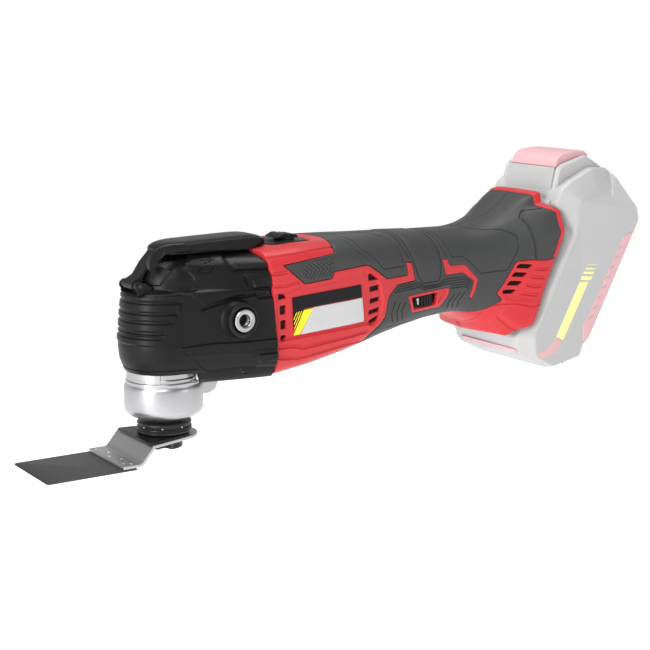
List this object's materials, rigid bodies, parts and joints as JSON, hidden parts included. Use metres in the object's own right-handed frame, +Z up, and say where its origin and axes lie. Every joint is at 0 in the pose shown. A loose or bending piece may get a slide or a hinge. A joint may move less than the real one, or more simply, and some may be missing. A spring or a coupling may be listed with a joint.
{
  "type": "oscillating multi tool",
  "caption": "Cordless oscillating multi tool: plunge blade on a quick-release spindle under a ribbed gear head, slim rubber grip with speed dial, and a slide-on battery pack at the rear.",
  "frame": {"origin": "centre of the clamp bolt's lower face, on the spindle axis", "axes": "+X to the rear (battery end), +Y to the tool's right-hand side, +Z up along the spindle"},
  "size_m": [0.3825, 0.076, 0.1505],
  "materials": {
    "red_plastic": "satin moulded ABS",
    "black_plastic": "fine moulded texture",
    "grip_rubber": "soft overmould",
    "cast_aluminium": "satin, machined and bead blasted",
    "steel": "turned steel",
    "bracket_steel": "stamped, dull",
    "dark_steel": "blackened",
    "copper": "plated contact",
    "circuit_board": "solder mask",
    "clear_lens": "clear",
    "label_foil": "printed foil",
    "pack_grey": "fine moulded texture",
    "pack_pink": "smooth",
    "cell_wrap": "shrink wrap"
  },
  "bodies": {
    "tool": {"housing_left": "red_plastic", "housing_right": "red_plastic", "head_cover": "black_plastic", "lower_cover": "black_plastic", "switch_module": "black_plastic", "motor_end_cap": "black_plastic", "rail_plate": "black_plastic", "terminal_block": "black_plastic", "grip_left": "grip_rubber", "grip_right": "grip_rubber", "gear_case": "cast_aluminium", "handle_insert_left": "steel", "handle_insert_right": "steel", "spindle_bearing_lower": "steel", "spindle_bearing_upper": "steel", "motor_can": "steel", "motor_bearing_front": "steel", "motor_bearing_rear": "steel", "lever_pin": "steel", "lip_screw": "steel", "dial_potentiometer": "steel", "housing_screw_1": "steel", "housing_screw_2": "steel", "housing_screw_3": "steel", "housing_screw_4": "steel", "housing_screw_5": "steel", "brush_left": "dark_steel", "brush_right": "dark_steel", "terminal_minus": "copper", "terminal_plus": "copper", "terminal_signal": "copper", "control_board": "circuit_board", "light_board": "circuit_board", "work_light": "clear_lens", "label_plate": "label_foil"},
    "spindle_set": {"spindle": "steel", "fork": "steel", "collar": "dark_steel", "accessory_bracket": "bracket_steel", "saw_blade": "dark_steel", "clamp_spring": "steel"},
    "clamp_set": {"clamp_rod": "steel", "clamp_bolt": "dark_steel"},
    "rotor": {"rotor_shaft": "steel", "armature": "dark_steel", "commutator": "copper", "fan": "black_plastic", "eccentric": "dark_steel", "eccentric_bearing": "steel"},
    "lever": {"lever": "black_plastic"},
    "switch_slider": {"slide_switch": "black_plastic"},
    "dial": {"speed_dial": "black_plastic"},
    "battery": {"battery_case_front": "pack_grey", "battery_case_rear": "pack_grey", "battery_cells": "cell_wrap", "battery_board": "circuit_board", "battery_contact_minus": "copper", "battery_contact_plus": "copper", "battery_contact_signal": "copper"},
    "release_button": {"battery_button": "pack_pink"}
  },
  "joints": [
    {"name": "spindle_swing", "type": "hinge", "parent": "tool", "child": "spindle_set", "pos_m": [0, 0, 0.03], "axis": [0, 0, 1], "range_deg": [-1.6, 1.6]},
    {"name": "clamp_slide", "type": "slide", "parent": "spindle_set", "child": "clamp_set", "axis": [0, 0, -1], "range_m": [0, 0.00298], "deforming": ["clamp_spring"]},
    {"name": "rotor_spin", "type": "hinge", "parent": "tool", "child": "rotor", "pos_m": [0, 0, 0.0663], "axis": [0.9976, 0, 0.0698], "continuous": true},
    {"name": "lever_swing", "type": "hinge", "parent": "tool", "child": "lever", "pos_m": [-0.017, 0, 0.0889], "axis": [0, -1, 0], "range_deg": [0, 95]},
    {"name": "switch_slide", "type": "slide", "parent": "tool", "child": "switch_slider", "axis": [-1, 0, 0], "range_m": [0, 0.0045]},
    {"name": "dial_turn", "type": "hinge", "parent": "tool", "child": "dial", "pos_m": [0.1515, -0.0154, 0.0675], "axis": [0, 0, 1], "range_deg": [-280, 0]},
    {"name": "battery_slide", "type": "slide", "parent": "tool", "child": "battery", "axis": [0.4772, 0, 0.8788], "range_m": [0, 0.09]},
    {"name": "battery_release", "type": "slide", "parent": "battery", "child": "release_button", "axis": [0.3577, 0, -0.9338], "range_m": [0, 0.0025], "stiffness_N_per_m": 500, "springref_m": -0.002}
  ],
  "couplings": [
    {"joint": "clamp_slide", "follows": "lever_swing", "m_per_rad": 0.0018}
  ]
}
